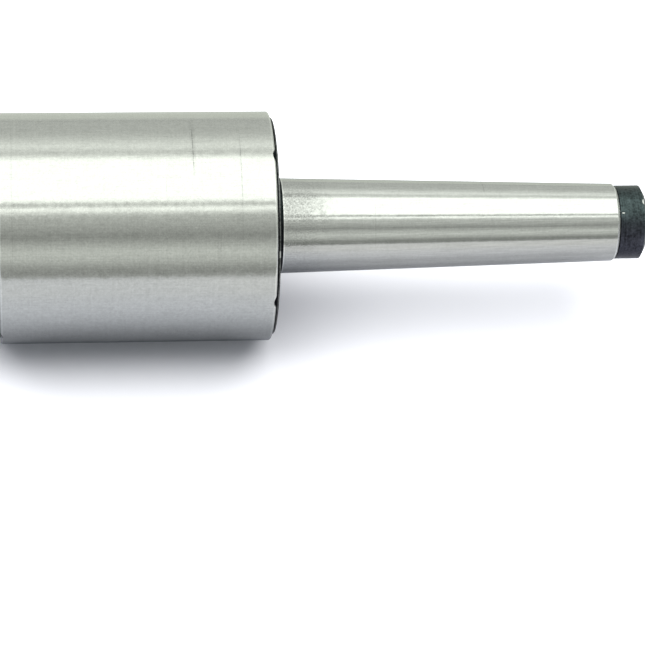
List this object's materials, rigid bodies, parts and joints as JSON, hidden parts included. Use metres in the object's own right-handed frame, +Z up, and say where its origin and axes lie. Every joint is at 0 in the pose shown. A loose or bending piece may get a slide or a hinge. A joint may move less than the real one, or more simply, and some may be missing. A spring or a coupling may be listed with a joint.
{
  "type": "live center",
  "caption": "Tailstock live center: a turning 60 degree point on ball and needle bearings in a ground steel body with a Morse taper shank.",
  "frame": {"origin": "centre of the Morse taper's gauge plane, on the long axis", "axes": "+X along the long axis from the point towards the shank's end, +Z up"},
  "size_m": [0.203, 0.0575, 0.0574],
  "materials": {
    "ground_sleeve": "cylindrically ground, bright",
    "ground_shank": "ground taper, black oxide flange, neck and tenon",
    "ground_spindle": "hardened and ground",
    "black_oxide": "black oxide, fine turned",
    "bearing_race": "ground bearing steel",
    "bearing_ball": "polished bearing steel",
    "pressed_cage": "pressed sheet steel",
    "shim_steel": "spring steel",
    "lock_steel": "phosphated steel",
    "seal_steel": "pressed steel",
    "seal_rubber": "nitrile rubber"
  },
  "bodies": {
    "housing": {"body_sleeve": "ground_sleeve", "taper_shank": "ground_shank", "front_cap": "black_oxide", "front_bearing_outer_ring": "bearing_race", "bearing_shim": "shim_steel", "seal_case": "seal_steel", "seal_lip": "seal_rubber", "seal_garter_spring": "shim_steel", "thrust_housing_washer": "bearing_race", "thrust_shim": "shim_steel", "needle_cup": "bearing_race"},
    "spindle": {"spindle": "ground_spindle", "front_bearing_inner_ring": "bearing_race", "lock_washer": "lock_steel", "lock_nut": "lock_steel", "thrust_shaft_washer": "bearing_race"},
    "front_cage": {"front_bearing_balls": "bearing_ball", "front_bearing_cage_front": "pressed_cage", "front_bearing_cage_rear": "pressed_cage", "front_bearing_cage_rivets": "pressed_cage"},
    "thrust_cage": {"thrust_balls": "bearing_ball", "thrust_cage": "pressed_cage"},
    "needle_cage": {"needle_rollers": "bearing_ball", "needle_cage": "pressed_cage"}
  },
  "joints": [
    {"name": "spindle_spin", "type": "hinge", "parent": "housing", "child": "spindle", "pos_m": [-0.06, 0, 0], "axis": [1, 0, 0], "continuous": true},
    {"name": "front_cage_spin", "type": "hinge", "parent": "housing", "child": "front_cage", "pos_m": [-0.0565, 0, 0], "axis": [1, 0, 0], "continuous": true},
    {"name": "thrust_cage_spin", "type": "hinge", "parent": "housing", "child": "thrust_cage", "pos_m": [-0.03315, 0, 0], "axis": [1, 0, 0], "continuous": true},
    {"name": "needle_cage_spin", "type": "hinge", "parent": "housing", "child": "needle_cage", "pos_m": [-0.01915, 0, 0], "axis": [1, 0, 0], "continuous": true}
  ],
  "couplings": [
    {"joint": "front_cage_spin", "follows": "spindle_spin", "ratio": 0.3969},
    {"joint": "thrust_cage_spin", "follows": "spindle_spin", "ratio": 0.5},
    {"joint": "needle_cage_spin", "follows": "spindle_spin", "ratio": 0.4412}
  ]
}
